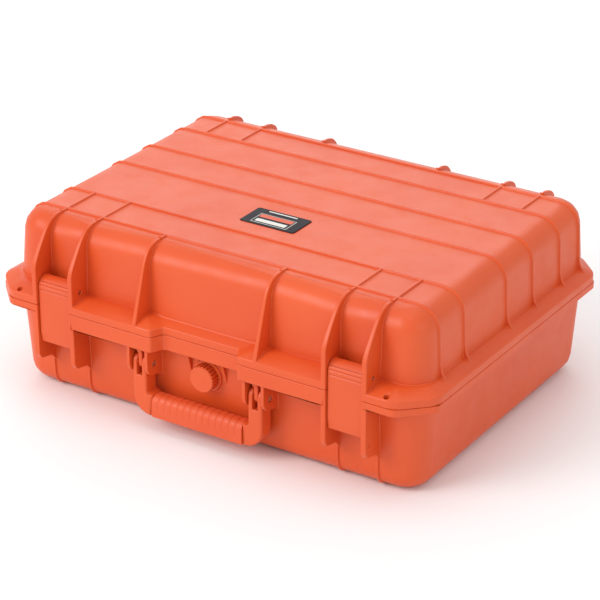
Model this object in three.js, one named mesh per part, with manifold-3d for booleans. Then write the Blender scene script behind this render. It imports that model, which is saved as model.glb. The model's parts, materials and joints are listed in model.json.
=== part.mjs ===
// Hard equipment case: two drafted, ribbed shells on a rear pin hinge, closed by two over-centre latches,
// with a hanging carry handle and a pressure purge valve on the front.
// Millimetres. X runs right along the front, the front faces -Y and Z is up.
// The origin is centred under the case.
import * as THREE from "three";
import { mergeVertices } from "three/addons/utils/BufferGeometryUtils.js";
import Module from "manifold-3d";

const wasm = await Module();
wasm.setup();

// ---------------------------------------------------------------- driving dimensions
const CASE_LENGTH = 546; // over the side flanges
const CASE_DEPTH = 427; // front flange plane to the hinge knuckles
const CASE_HEIGHT = 205; // under the skid ribs to the top of the lid ribs
const PARTING_HEIGHT = 114; // where lid and base meet
const PARTING_GAP = 0.3; // between lid rim and base rim
const FIT = 0.3; // between pieces that touch
const SWING = 0.7; // at each side of a piece that swings between two others

// Shell
const WALL = 4;
const DRAFT = THREE.MathUtils.degToRad(3);
const CORNER_RADIUS = 30;
const LID_EDGE_RADIUS = 22;
const BASE_EDGE_RADIUS = 18;
const RIB_PROUD = 2;
const RIB_WIDTH = 3;
const RIB_FOOT_RISE = 13; // web at the foot of a cross rib, above the side flange
const RIB_FOOT_REACH = 9;

// Rim flanges
const SIDE_FLANGE = 15.5;
const FRONT_FLANGE = 26;
const REAR_FLANGE = 12.5;
const LID_BAND = 8.5; // upright edge of the lid flange
const LID_SLOPE_RISE = 6.5; // rise from that edge towards the wall
const LID_SLOPE_WIDTH = 14;
const BASE_BAND = 8; // upright edge of the base flange
const SKIRT_BAND = 17.5; // deeper skirt between the latches
const SKIRT_WALL = 4;
const CORNER_CUT = 33; // 45 degree cut at each flange corner
const CORNER_CUT_ROUNDING = 5;

// Cross ribs of the lid
const RIBS_FROM_FRONT = [63, 113]; // from the front flange plane
const RIBS_FROM_CENTRE = [-10.4, 48];
const RIBS_FROM_REAR = [102.5, 57.5]; // from the rear of the hinge

// Latches
const LATCH_FROM_END = 91; // latch centre to the end of the case
const LATCH_WIDTH = 40.6;
const WING_WIDTH = 5.7;
const WING_TOP_WIDTH = 3.6; // a wing narrows to this at the lid's top
const WING_KNEE_ABOVE = 42; // above the parting line, where the wing's front edge turns upright
const BASE_WING_BELOW = 66; // below the parting line
const LATCH_PIN_BACK = 14.5; // pin centre behind the front flange plane
const LATCH_PIN_ABOVE = 20.8; // above the parting line
const LATCH_PIN_RADIUS = 2.2;
const LEVER_HEAD_RADIUS = 11;
const LEVER_WALL = 2.2;
const LEVER_CHEEK = 3;
const LEVER_DEPTH = 15.9; // back edge of the cheeks behind the front flange plane
const LEVER_BELOW = 44; // below the parting line
const LINK_PIN_RADIUS = 1.5;
const LINK_PIN_BACK = 1.3; // behind the latch pin
const LINK_PIN_RISE = 5.5; // above the latch pin
const HOOK_PLATE = 3.2;
const HOOK_BOSS_RADIUS = 2.7;
const HOOK_BELOW = 34;
const CATCH_TOP_BELOW = 22;
const CATCH_HEIGHT = 8;
const CATCH_HALF_WIDTH = 14;
const CATCH_FRONT_BACK = 12.5; // catch face behind the front flange plane
const THUMB_GROOVE_RADIUS = 1.1;
const THUMB_GROOVES_ABOVE = [28, 22.6, 17.2]; // above the parting line

// Mid fins and padlock holes
const MID_FIN_FROM_CENTRE = 75.6;
const MID_FIN_WIDTH = 5;
const MID_FIN_TOP_WIDTH = 3.4;
const PADLOCK_FROM_END = 43.8;
const PADLOCK_BACK = 5.2;
const PADLOCK_RADIUS = 3;

// Rear hinge
const KNUCKLE_RADIUS = 6.5;
const HINGE_PIN_RADIUS = 2.5;
const HINGE_HALF_WIDTH = 20;
const LID_KNUCKLE_HALF = 8.8;
const KNUCKLE_GAP = 0.5;

// Handle
const HANDLE_FROM_CENTRE = 73; // bracket centre
const BRACKET_HALF = 13.5;
const BRACKET_PLATE = 4;
const BRACKET_RADIUS = 13;
const HANDLE_PIN_BACK = 14.5;
const HANDLE_PIN_BELOW = 37; // below the parting line
const HANDLE_PIN_RADIUS = 3;
const ARM_HEAD_RADIUS = 9.5;
const LUG_WIDTH = 5;
const LUG_RADIUS = 7;
const GRIP_LENGTH = 114;
const GRIP_HEIGHT = 25;
const GRIP_DEPTH = 21;
const GRIP_DROP = 46; // grip centre below the handle pins
const GRIP_RIDGES = 14;
const GROOVE_WIDTH = 1.4;
const GROOVE_DEPTH = 0.9;
const CORE_HEIGHT = 13;
const CORE_DEPTH = 11;
const HANDLE_CORNER_RADIUS = 22;
const RECESS_HALF = 45; // flat of the hand recess in the front flange
const RECESS_CURVE = 12;
const RECESS_DEPTH = 15.5;

// Purge valve
const VALVE_BELOW = 39.5; // below the parting line
const KNOB_RADIUS = 15;
const KNOB_THICKNESS = 10.5;
const KNOB_FLUTES = 24;
const KNOB_STEP = 0.9; // the face disc is smaller than the fluted skirt by this all round
const VALVE_STEM_RADIUS = 6;
const VALVE_PAD_RADIUS = 18;
const VALVE_PAD_PROUD = 3;
const VALVE_BORE_RADIUS = 2.5;
const NUT_ACROSS_CORNERS = 22;
const NUT_THICKNESS = 5;
const GUSSET_FROM_CENTRE = 22;

// Rim seal
const SEAL_WIDTH = 4.2;
const SEAL_HEIGHT = 3.6;

// Name plate on the lid
const PLATE_LENGTH = 68;
const PLATE_DEPTH = 39;
const PLATE_THICKNESS = 1.5;
const PLATE_RECESS = 0.9;

// ---------------------------------------------------------------- places worked out from them
const halfLength = CASE_LENGTH / 2;
const frontPlane = -CASE_DEPTH / 2;
const rearPlane = CASE_DEPTH / 2;
const hingeY = rearPlane - KNUCKLE_RADIUS;
const rearFlangePlane = rearPlane - 2 * KNUCKLE_RADIUS - KNUCKLE_GAP;
const wallHalfX = halfLength - SIDE_FLANGE;
const wallFront = frontPlane + FRONT_FLANGE;
const wallRear = rearFlangePlane - REAR_FLANGE;
const wallHalfY = (wallRear - wallFront) / 2;
const wallCentreY = (wallRear + wallFront) / 2;
const lidBottom = PARTING_HEIGHT + PARTING_GAP / 2;
const baseTop = PARTING_HEIGHT - PARTING_GAP / 2;
const lidTop = CASE_HEIGHT - RIB_PROUD;
const basePanel = RIB_PROUD;
const latchX = halfLength - LATCH_FROM_END;
const wingOffset = LATCH_WIDTH / 2 + SWING + WING_WIDTH / 2;
const lidFlangeTop = lidBottom + LID_BAND + LID_SLOPE_RISE;
const latchPin = { y: frontPlane + LATCH_PIN_BACK, z: PARTING_HEIGHT + LATCH_PIN_ABOVE };
const linkPin = { y: latchPin.y + LINK_PIN_BACK, z: latchPin.z + LINK_PIN_RISE };
const leverBottom = PARTING_HEIGHT - LEVER_BELOW;
const hookBottom = PARTING_HEIGHT - HOOK_BELOW;
const catchTop = PARTING_HEIGHT - CATCH_TOP_BELOW;
const catchBottom = catchTop - CATCH_HEIGHT;
const wingKnee = PARTING_HEIGHT + WING_KNEE_ABOVE;
const baseWingBottom = PARTING_HEIGHT - BASE_WING_BELOW;
const handlePin = { y: frontPlane + HANDLE_PIN_BACK, z: PARTING_HEIGHT - HANDLE_PIN_BELOW };
const gripZ = handlePin.z - GRIP_DROP;
const valveZ = PARTING_HEIGHT - VALVE_BELOW;
const ribTopY = [
  ...RIBS_FROM_FRONT.map((d) => frontPlane + d),
  ...RIBS_FROM_CENTRE,
  ...RIBS_FROM_REAR.map((d) => rearPlane - d),
];
const plateY = (ribTopY[1] + ribTopY[2]) / 2; // midway between two of the ribs
const sides = [
  { name: "left", sign: -1 },
  { name: "right", sign: 1 },
];

// The flanges are cut back behind a latch until the lever's head turns clear of them
const headOverFlange = Math.min(LEVER_HEAD_RADIUS, Math.max(0, latchPin.z - lidFlangeTop));
const bayBack = latchPin.y + Math.sqrt(LEVER_HEAD_RADIUS ** 2 - headOverFlange ** 2) + SWING;

// Outer face of the base's front wall at a height
const baseWallAt = (z) => wallFront + Math.tan(DRAFT) * (PARTING_HEIGHT - z);

// ---------------------------------------------------------------- materials
const orange = new THREE.MeshStandardMaterial({ color: 0xf0623a, roughness: 0.55, metalness: 0 });
const steel = new THREE.MeshStandardMaterial({ color: 0xb8bcc0, roughness: 0.3, metalness: 1 });
const blackPlastic = new THREE.MeshStandardMaterial({ color: 0x1c1b1e, roughness: 0.5, metalness: 0 });
const blackRubber = new THREE.MeshStandardMaterial({ color: 0x121212, roughness: 0.85, metalness: 0 });
const whiteMesh = new THREE.MeshStandardMaterial({ color: 0xe6e3dc, roughness: 0.8, metalness: 0 });

// ---------------------------------------------------------------- building blocks
function solid(geometry) {
  const bare = geometry.clone();
  bare.deleteAttribute("normal");
  bare.deleteAttribute("uv");
  const merged = mergeVertices(bare, 1e-4);
  return new wasm.Manifold(
    new wasm.Mesh({
      numProp: 3,
      vertProperties: merged.attributes.position.array,
      triVerts: new Uint32Array(merged.index.array),
    }),
  );
}

const joined = (solids) => solids.reduce((whole, next) => whole.add(next));

const cutBy = (whole, cutters) => cutters.reduce((rest, cutter) => rest.subtract(cutter), whole);

function box([x0, x1], [y0, y1], [z0, z1]) {
  const geometry = new THREE.BoxGeometry(x1 - x0, y1 - y0, z1 - z0);
  return solid(geometry.translate((x0 + x1) / 2, (y0 + y1) / 2, (z0 + z1) / 2));
}

function shapeOf(points) {
  return new THREE.Shape(points.map(([u, v]) => new THREE.Vector2(u, v)));
}

// A shape drawn in the Y-Z plane, pushed along X
function alongX(shape, x0, x1, options = {}) {
  const geometry = new THREE.ExtrudeGeometry(shape, { depth: x1 - x0, bevelEnabled: false, ...options });
  const turn = new THREE.Matrix4().makeBasis(
    new THREE.Vector3(0, 1, 0),
    new THREE.Vector3(0, 0, 1),
    new THREE.Vector3(1, 0, 0),
  );
  return solid(geometry.applyMatrix4(turn).translate(x0, 0, 0));
}

// A shape drawn in the X-Z plane, pushed along Y
function alongY(shape, y0, y1, options = {}) {
  const geometry = new THREE.ExtrudeGeometry(shape, { depth: y1 - y0, bevelEnabled: false, ...options });
  return solid(geometry.rotateX(Math.PI / 2).translate(0, y1, 0));
}

// A shape drawn in plan, pushed along Z
function alongZ(shape, z0, z1, options = {}) {
  const geometry = new THREE.ExtrudeGeometry(shape, { depth: z1 - z0, bevelEnabled: false, ...options });
  return solid(geometry.translate(0, 0, z0));
}

function rodX(radius, x0, x1, y, z, facets = 16) {
  const geometry = new THREE.CylinderGeometry(radius, radius, x1 - x0, facets);
  return solid(geometry.rotateZ(Math.PI / 2).translate((x0 + x1) / 2, y, z));
}

function rodY(radius, y0, y1, x, z, facets = 24) {
  const geometry = new THREE.CylinderGeometry(radius, radius, y1 - y0, facets);
  return solid(geometry.translate(x, (y0 + y1) / 2, z));
}

function rodZ(radius, z0, z1, x, y, facets = 16) {
  const geometry = new THREE.CylinderGeometry(radius, radius, z1 - z0, facets);
  return solid(geometry.rotateX(Math.PI / 2).translate(x, y, (z0 + z1) / 2));
}

function roundedRectangle(halfX, halfY, radius) {
  const shape = new THREE.Shape();
  shape.absarc(halfX - radius, halfY - radius, radius, 0, Math.PI / 2);
  shape.absarc(radius - halfX, halfY - radius, radius, Math.PI / 2, Math.PI);
  shape.absarc(radius - halfX, radius - halfY, radius, Math.PI, 1.5 * Math.PI);
  shape.absarc(halfX - radius, radius - halfY, radius, 1.5 * Math.PI, 2 * Math.PI);
  shape.closePath();
  return shape;
}

// A closed outline through the points with its corners rounded
function roundedOutline(points, radius) {
  const shape = new THREE.Shape();
  points.forEach(([x, y], i) => {
    const here = new THREE.Vector2(x, y);
    const before = new THREE.Vector2(...points.at(i - 1));
    const after = new THREE.Vector2(...points[(i + 1) % points.length]);
    const start = here.clone().add(before.sub(here).setLength(radius));
    const end = here.clone().add(after.sub(here).setLength(radius));
    if (i === 0) shape.moveTo(start.x, start.y);
    else shape.lineTo(start.x, start.y);
    shape.quadraticCurveTo(here.x, here.y, end.x, end.y);
  });
  shape.closePath();
  return shape;
}

// Points along a smooth curve through the given ones
function curveThrough(points, steps) {
  const curve = new THREE.SplineCurve(points.map(([u, v]) => new THREE.Vector2(u, v)));
  return curve.getPoints(steps).map(({ x, y }) => [x, y]);
}

// A rounded box that rises from z = 0, narrows by the draft and has a rounded top edge.
// It also reaches below z = 0, where the parting plane cuts it off.
function draftedBody(halfX, halfY, height, corner, edge) {
  const overrun = 6;
  const geometry = new THREE.ExtrudeGeometry(roundedRectangle(halfX - edge, halfY - edge, corner - edge), {
    depth: height - edge + overrun,
    bevelThickness: edge,
    bevelSize: edge,
    bevelSegments: 4,
    curveSegments: 4,
  });
  geometry.translate(0, 0, -overrun);
  const position = geometry.attributes.position;
  for (let i = 0; i < position.count; i++) {
    const inward = Math.tan(DRAFT) * position.getZ(i);
    position.setX(i, position.getX(i) - Math.sign(position.getX(i)) * inward);
    position.setY(i, position.getY(i) - Math.sign(position.getY(i)) * inward);
  }
  return geometry;
}

const lidBody = (inset, proud = 0) =>
  solid(
    draftedBody(
      wallHalfX - inset + proud,
      wallHalfY - inset + proud,
      lidTop - PARTING_HEIGHT - inset + proud,
      CORNER_RADIUS - inset + proud,
      LID_EDGE_RADIUS - inset + proud,
    ).translate(0, wallCentreY, PARTING_HEIGHT),
  );

const baseBody = (inset, proud = 0) =>
  solid(
    draftedBody(
      wallHalfX - inset + proud,
      wallHalfY - inset + proud,
      PARTING_HEIGHT - basePanel - inset + proud,
      CORNER_RADIUS - inset + proud,
      BASE_EDGE_RADIUS - inset + proud,
    )
      .rotateX(Math.PI)
      .translate(0, wallCentreY, PARTING_HEIGHT),
  );

// ---------------------------------------------------------------- rim flanges
// The plan of the rim, moved inwards by inset, without the hand recess
function flangeOutline(inset) {
  const side = halfLength - inset;
  const front = frontPlane + inset;
  const rear = rearFlangePlane - inset;
  const cut = CORNER_CUT - inset * (2 - Math.SQRT2);
  const corners = [
    [side - cut, front],
    [side, front + cut],
    [side, rear - cut],
    [side - cut, rear],
    [cut - side, rear],
    [-side, rear - cut],
    [-side, front + cut],
    [cut - side, front],
  ];
  return roundedOutline(corners, CORNER_CUT_ROUNDING);
}

// The hand recess that is taken out of the front flange, between z0 and z1
function handRecess(z0, z1, inset = 0) {
  const flat = RECESS_HALF - inset;
  const wide = RECESS_HALF + RECESS_CURVE - inset;
  const middle = (flat + wide) / 2;
  const back = frontPlane + RECESS_DEPTH - inset;
  const front = frontPlane - 1;
  const shape = new THREE.Shape();
  shape.moveTo(wide, front);
  shape.lineTo(wide, frontPlane - inset);
  shape.bezierCurveTo(middle, frontPlane - inset, middle, back, flat, back);
  shape.lineTo(-flat, back);
  shape.bezierCurveTo(-middle, back, -middle, frontPlane - inset, -wide, frontPlane - inset);
  shape.lineTo(-wide, front);
  shape.closePath();
  return alongZ(shape, z0, z1, { curveSegments: 6 });
}

// The slope of the lid flange carried on round the hand recess: the recess widens evenly above the band
const recessSlope = () =>
  handRecess(lidBottom + LID_BAND, lidFlangeTop + 1).warp((vertex) => {
    const out = (LID_SLOPE_WIDTH / LID_SLOPE_RISE) * (vertex[2] - lidBottom - LID_BAND);
    vertex[0] += Math.sign(vertex[0]) * out;
    if (vertex[1] > frontPlane - 0.5) vertex[1] += out;
  });

const latchBay = (sign, z0, z1) =>
  box(
    [sign * latchX - LATCH_WIDTH / 2 - SWING, sign * latchX + LATCH_WIDTH / 2 + SWING],
    [frontPlane - 1, bayBack],
    [z0, z1],
  );

const padlockHole = (sign) =>
  rodZ(PADLOCK_RADIUS, 0, CASE_HEIGHT, sign * (halfLength - PADLOCK_FROM_END), frontPlane + PADLOCK_BACK);

// ---------------------------------------------------------------- seal and its groove
function sealRing(width, z0, z1) {
  const ring = (offset) =>
    roundedRectangle(wallHalfX - 0.3 + offset, wallHalfY - 0.3 + offset, CORNER_RADIUS + offset);
  const outer = alongZ(ring(width / 2), z0, z1, { curveSegments: 4 });
  const inner = alongZ(ring(-width / 2), z0 - 1, z1 + 1, { curveSegments: 4 });
  return outer.subtract(inner).translate(0, wallCentreY, 0);
}

// ---------------------------------------------------------------- fins
// A wing beside a latch, from the lid's top edge down to the parting line.
// end is -1 at the front and 1 at the rear.
function lidWingProfile(end) {
  const plane = end < 0 ? -frontPlane : rearFlangePlane;
  const wall = end < 0 ? -wallFront : wallRear;
  const points = [
    [plane, lidBottom],
    ...curveThrough(
      [
        [plane, wingKnee],
        [plane - 3, wingKnee + 9],
        [(plane + wall) / 2 - 3, (wingKnee + lidTop) / 2 + 5],
        [wall + 1, lidTop - 7.5],
        [wall - 7, lidTop - 1],
        [wall - 18, CASE_HEIGHT],
      ],
      12,
    ),
    [wall - 26, CASE_HEIGHT],
    [wall - 26, lidTop - WALL],
    [wall - 12, lidTop - 16],
    [wall - WALL - 2, lidBottom],
  ];
  return shapeOf(points.map(([y, z]) => [end * y, z]));
}

// A fin in the middle of the front or rear that slopes straight down to the rim
function lidFinProfile(end) {
  const plane = end < 0 ? -frontPlane : rearFlangePlane;
  const wall = end < 0 ? -wallFront : wallRear;
  const points = [
    [plane, lidBottom],
    [plane, lidBottom + LID_BAND],
    ...curveThrough(
      [
        [wall + 7, lidTop - 22],
        [wall + 3, lidTop - 12],
        [wall - 2, lidTop - 5],
        [wall - 8, lidTop - 0.5],
        [wall - 18, CASE_HEIGHT],
      ],
      8,
    ),
    [wall - 26, CASE_HEIGHT],
    [wall - 26, lidTop - WALL],
    [wall - 12, lidTop - 16],
    [wall - WALL - 2, lidBottom],
  ];
  return shapeOf(points.map(([y, z]) => [end * y, z]));
}

function baseWingProfile(end) {
  const plane = end < 0 ? -frontPlane : rearFlangePlane;
  const wall = (end < 0 ? -wallFront : wallRear) - Math.tan(DRAFT) * (baseTop - baseWingBottom);
  const points = [
    [plane, baseTop],
    [plane - 1, baseWingBottom + 6],
    [plane - 5, baseWingBottom],
    [wall + 7, baseWingBottom - 3],
    [wall - 1, baseWingBottom - 12],
    [wall - WALL, baseWingBottom - 12],
    [wall - WALL, baseTop],
  ];
  return shapeOf(points.map(([y, z]) => [end * y, z]));
}

const slab = (profile, x, width) => alongX(profile, x - width / 2, x + width / 2);

// A slab that narrows evenly from width at the height z0 to topWidth at z1
function taperedSlab(profile, x, width, topWidth, z0, z1) {
  return alongX(profile, -0.5, 0.5).warp((vertex) => {
    const rise = (vertex[2] - z0) / (z1 - z0);
    vertex[0] = x + vertex[0] * THREE.MathUtils.lerp(width, topWidth, Math.max(0, rise));
  });
}

// Full width up to the knee, then narrowing to the lid's top
function lidWing(end, x) {
  const profile = lidWingProfile(end);
  const wideFoot = 2 * WING_WIDTH - WING_TOP_WIDTH;
  const footZ = 2 * wingKnee - lidTop;
  const tapered = taperedSlab(profile, x, wideFoot, WING_TOP_WIDTH, footZ, lidTop);
  return slab(profile, x, WING_WIDTH).intersect(tapered);
}

const lidFin = (end, x) =>
  taperedSlab(lidFinProfile(end), x, MID_FIN_WIDTH, MID_FIN_TOP_WIDTH, lidBottom, lidTop);

const wingPlaces = sides.flatMap(({ sign }) => [sign * latchX - wingOffset, sign * latchX + wingOffset]);
const midFinPlaces = sides.map(({ sign }) => sign * MID_FIN_FROM_CENTRE);

// Ribs that follow a body: a slice of the same body, proud of it by the rib's height
const ribAcross = (proudBody, y) =>
  proudBody.intersect(
    box([-halfLength, halfLength], [y - RIB_WIDTH / 2, y + RIB_WIDTH / 2], [0, CASE_HEIGHT + 1]),
  );
const ribAlong = (proudBody, x, y0, y1) =>
  proudBody.intersect(box([x - RIB_WIDTH / 2, x + RIB_WIDTH / 2], [y0, y1], [-1, CASE_HEIGHT + 1]));

// A small web where a cross rib meets the side flange
function ribFoot(sign, y) {
  const wall = wallHalfX - Math.tan(DRAFT) * (lidFlangeTop - PARTING_HEIGHT);
  const foot = [
    [wall - 1, lidFlangeTop + RIB_FOOT_RISE],
    ...curveThrough(
      [
        [wall + RIB_PROUD - 0.6, lidFlangeTop + RIB_FOOT_RISE],
        [wall + RIB_PROUD + 1, lidFlangeTop + RIB_FOOT_RISE / 2],
        [wall + RIB_FOOT_REACH / 2 + 1, lidFlangeTop + 1.5],
        [wall + RIB_FOOT_REACH, lidFlangeTop - LID_SLOPE_RISE / 2],
      ],
      6,
    ),
    [wall - 1, lidFlangeTop - LID_SLOPE_RISE / 2],
  ];
  const shape = shapeOf(foot.map(([x, z]) => [sign * x, z]));
  return alongY(shape, y - RIB_WIDTH / 2, y + RIB_WIDTH / 2);
}

// ---------------------------------------------------------------- lid
function lidRim() {
  const sunk = 10; // part of the rim that the parting plane cuts away
  const rim = alongZ(flangeOutline(LID_SLOPE_WIDTH), lidBottom - sunk, lidBottom + LID_BAND, {
    bevelEnabled: true,
    bevelThickness: LID_SLOPE_RISE,
    bevelSize: LID_SLOPE_WIDTH,
    bevelSegments: 1,
    curveSegments: 4,
  });
  return cutBy(rim, [
    box([-CASE_LENGTH, CASE_LENGTH], [-CASE_DEPTH, CASE_DEPTH], [0, lidBottom]),
    handRecess(lidBottom - 1, lidBottom + 40),
    recessSlope(),
    ...sides.map(({ sign }) => latchBay(sign, lidBottom - 1, lidBottom + 40)),
  ]);
}

function lidKnuckle(sign) {
  const arm = shapeOf([
    [wallRear - 1, lidBottom],
    [rearFlangePlane + 0.1, lidBottom],
    [hingeY, PARTING_HEIGHT],
    [hingeY + 2, PARTING_HEIGHT + KNUCKLE_RADIUS - 1],
    [hingeY - 3, PARTING_HEIGHT + KNUCKLE_RADIUS + 5],
    [wallRear - 1, PARTING_HEIGHT + KNUCKLE_RADIUS + 9],
  ]);
  const centre = sign * latchX;
  const from = centre - LID_KNUCKLE_HALF;
  const to = centre + LID_KNUCKLE_HALF;
  return alongX(arm, from, to).add(rodX(KNUCKLE_RADIUS, from, to, hingeY, PARTING_HEIGHT, 20));
}

const hingeBore = (sign) => {
  const reach = HINGE_HALF_WIDTH + SWING;
  const centre = sign * latchX;
  return rodX(HINGE_PIN_RADIUS + FIT, centre - reach, centre + reach, hingeY, PARTING_HEIGHT);
};

function lidShell() {
  const proud = lidBody(0, RIB_PROUD);
  const firstRib = ribTopY[1] + RIB_WIDTH / 2;
  const lastRib = ribTopY[4] - RIB_WIDTH / 2;
  const shell = joined([
    lidBody(0),
    lidRim(),
    ...ribTopY.map((y) => ribAcross(proud, y)),
    ...ribTopY.flatMap((y) => sides.map(({ sign }) => ribFoot(sign, y))),
    ...wingPlaces.flatMap((x) => [
      lidWing(-1, x),
      lidWing(1, x),
      ribAlong(proud, x, wallFront, firstRib),
      ribAlong(proud, x, lastRib, wallRear),
    ]),
    ...midFinPlaces.flatMap((x) => [
      lidFin(-1, x),
      lidFin(1, x),
      ribAlong(proud, x, wallFront, ribTopY[0]),
      ribAlong(proud, x, ribTopY[5], wallRear),
    ]),
    ...sides.map(({ sign }) => lidKnuckle(sign)),
  ]);
  return cutBy(shell, [
    box([-CASE_LENGTH, CASE_LENGTH], [-CASE_DEPTH, rearFlangePlane + 0.2], [-CASE_HEIGHT, lidBottom]),
    lidBody(WALL),
    sealRing(SEAL_WIDTH + 2 * FIT, lidBottom - 1, lidBottom + SEAL_HEIGHT + FIT),
    namePlateBlock(PLATE_LENGTH + 2 * FIT, PLATE_DEPTH + 2 * FIT, lidTop - PLATE_RECESS, CASE_HEIGHT + 1),
    ...sides.flatMap(({ sign }) => [hingeBore(sign), padlockHole(sign), latchPinHole(sign)]),
  ]);
}

const latchPinHole = (sign) => {
  const reach = wingOffset + WING_WIDTH;
  return rodX(LATCH_PIN_RADIUS + FIT, sign * latchX - reach, sign * latchX + reach, latchPin.y, latchPin.z);
};

// ---------------------------------------------------------------- base
function baseRim() {
  const plain = alongZ(flangeOutline(0), baseTop - BASE_BAND, baseTop, { curveSegments: 4 });
  const skirtBottom = baseTop - SKIRT_BAND;
  const skirtEnd = latchX - wingOffset;
  const deep = box([-skirtEnd, skirtEnd], [frontPlane, wallFront], [skirtBottom, baseTop]);
  const hollow = box(
    [-skirtEnd, skirtEnd],
    [frontPlane + SKIRT_WALL, wallFront],
    [skirtBottom - 1, baseTop - BASE_BAND],
  );
  const lining = handRecess(skirtBottom, baseTop - BASE_BAND, -SKIRT_WALL);
  const skirt = deep.subtract(hollow.subtract(lining));
  return cutBy(plain.add(skirt), [
    handRecess(0, baseTop + 1),
    ...sides.map(({ sign }) => latchBay(sign, 0, baseTop + 1)),
  ]);
}

function baseKnuckles(sign) {
  const arm = shapeOf([
    [wallRear - 1, baseTop - KNUCKLE_RADIUS - 9],
    [hingeY - 3, baseTop - KNUCKLE_RADIUS - 5],
    [hingeY + 2, PARTING_HEIGHT - KNUCKLE_RADIUS + 1],
    [hingeY, PARTING_HEIGHT],
    [rearFlangePlane + 0.2, baseTop],
    [wallRear - 1, baseTop],
  ]);
  const spans = [
    [-HINGE_HALF_WIDTH, -LID_KNUCKLE_HALF - KNUCKLE_GAP],
    [LID_KNUCKLE_HALF + KNUCKLE_GAP, HINGE_HALF_WIDTH],
  ];
  return spans.map(([from, to]) => {
    const x0 = sign * latchX + from;
    const x1 = sign * latchX + to;
    return alongX(arm, x0, x1).add(rodX(KNUCKLE_RADIUS, x0, x1, hingeY, PARTING_HEIGHT, 20));
  });
}

// Two plates and a middle lug that carry one end of the handle
function handleBracket(sign) {
  const centre = sign * HANDLE_FROM_CENTRE;
  const back = baseWallAt(handlePin.z) + 1;
  const top = baseTop - BASE_BAND;
  const plateShape = new THREE.Shape();
  plateShape.moveTo(back, top);
  plateShape.lineTo(handlePin.y - BRACKET_RADIUS, top);
  plateShape.absarc(handlePin.y, handlePin.z, BRACKET_RADIUS, Math.PI, 1.5 * Math.PI);
  plateShape.lineTo(back, handlePin.z - BRACKET_RADIUS - 4);
  plateShape.closePath();
  const outer = BRACKET_HALF - BRACKET_PLATE / 2;
  const plates = [-outer, outer].map((dx) => slab(plateShape, centre + dx, BRACKET_PLATE));
  const lugShape = new THREE.Shape();
  lugShape.moveTo(back, top);
  lugShape.lineTo(handlePin.y - LUG_RADIUS, top);
  lugShape.absarc(handlePin.y, handlePin.z, LUG_RADIUS, Math.PI, 1.5 * Math.PI);
  lugShape.lineTo(back, handlePin.z - LUG_RADIUS);
  lugShape.closePath();
  const flareBottom = handlePin.z + BRACKET_RADIUS + 0.5;
  const flare = shapeOf([
    [centre - LUG_WIDTH / 2, flareBottom],
    [centre + LUG_WIDTH / 2, flareBottom],
    [centre + BRACKET_HALF - BRACKET_PLATE, top],
    [centre - BRACKET_HALF + BRACKET_PLATE, top],
  ]);
  return joined([
    ...plates,
    slab(lugShape, centre, LUG_WIDTH),
    alongY(flare, handlePin.y - LUG_RADIUS - 2, back),
  ]);
}

const handlePinHole = (sign, radius) => {
  const centre = sign * HANDLE_FROM_CENTRE;
  const reach = BRACKET_HALF + 1;
  return rodX(radius, centre - reach, centre + reach, handlePin.y, handlePin.z);
};

function latchCatch(sign) {
  const centre = sign * latchX;
  const face = frontPlane + CATCH_FRONT_BACK;
  const back = baseWallAt(catchBottom) + 1;
  const ledge = shapeOf([
    [face, catchTop],
    [face, catchBottom + 1],
    [face + 1, catchBottom],
    [back, catchBottom - CATCH_HEIGHT],
    [back, catchTop],
  ]);
  return alongX(ledge, centre - CATCH_HALF_WIDTH, centre + CATCH_HALF_WIDTH);
}

const padFace = baseWallAt(valveZ) - VALVE_PAD_PROUD;
const innerPadFace = baseWallAt(valveZ) + WALL + 2;

function valveGusset(sign) {
  const top = baseTop - SKIRT_BAND + 1;
  const back = baseWallAt(valveZ) + 1;
  const shape = shapeOf([
    [back, top],
    [frontPlane + RECESS_DEPTH + SKIRT_WALL, top],
    [back, top - 30],
  ]);
  return slab(shape, sign * GUSSET_FROM_CENTRE, RIB_WIDTH);
}

function baseShell() {
  const proud = baseBody(0, RIB_PROUD);
  const outside = joined([
    baseBody(0),
    baseRim(),
    ...wingPlaces.flatMap((x) => [
      slab(baseWingProfile(-1), x, WING_WIDTH),
      slab(baseWingProfile(1), x, WING_WIDTH),
      ribAlong(proud, x, -CASE_DEPTH, CASE_DEPTH),
    ]),
    ...sides.flatMap(({ sign }) => [...baseKnuckles(sign), handleBracket(sign), latchCatch(sign)]),
    ...sides.map(({ sign }) => valveGusset(sign)),
    rodY(VALVE_PAD_RADIUS, padFace, padFace + WALL + 2, 0, valveZ, 32),
  ]);
  const hollowed = cutBy(outside, [
    box([-CASE_LENGTH, CASE_LENGTH], [-CASE_DEPTH, rearFlangePlane + 0.2], [baseTop, 2 * CASE_HEIGHT]),
    baseBody(WALL),
  ]);
  const innerPad = rodY(VALVE_PAD_RADIUS - 4, innerPadFace - 3, innerPadFace, 0, valveZ, 24);
  return cutBy(hollowed.add(innerPad), [
    rodY(VALVE_STEM_RADIUS + FIT, frontPlane, wallFront + 30, 0, valveZ),
    ...sides.flatMap(({ sign }) => [
      hingeBore(sign),
      padlockHole(sign),
      handlePinHole(sign, HANDLE_PIN_RADIUS + FIT),
    ]),
  ]);
}

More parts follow.
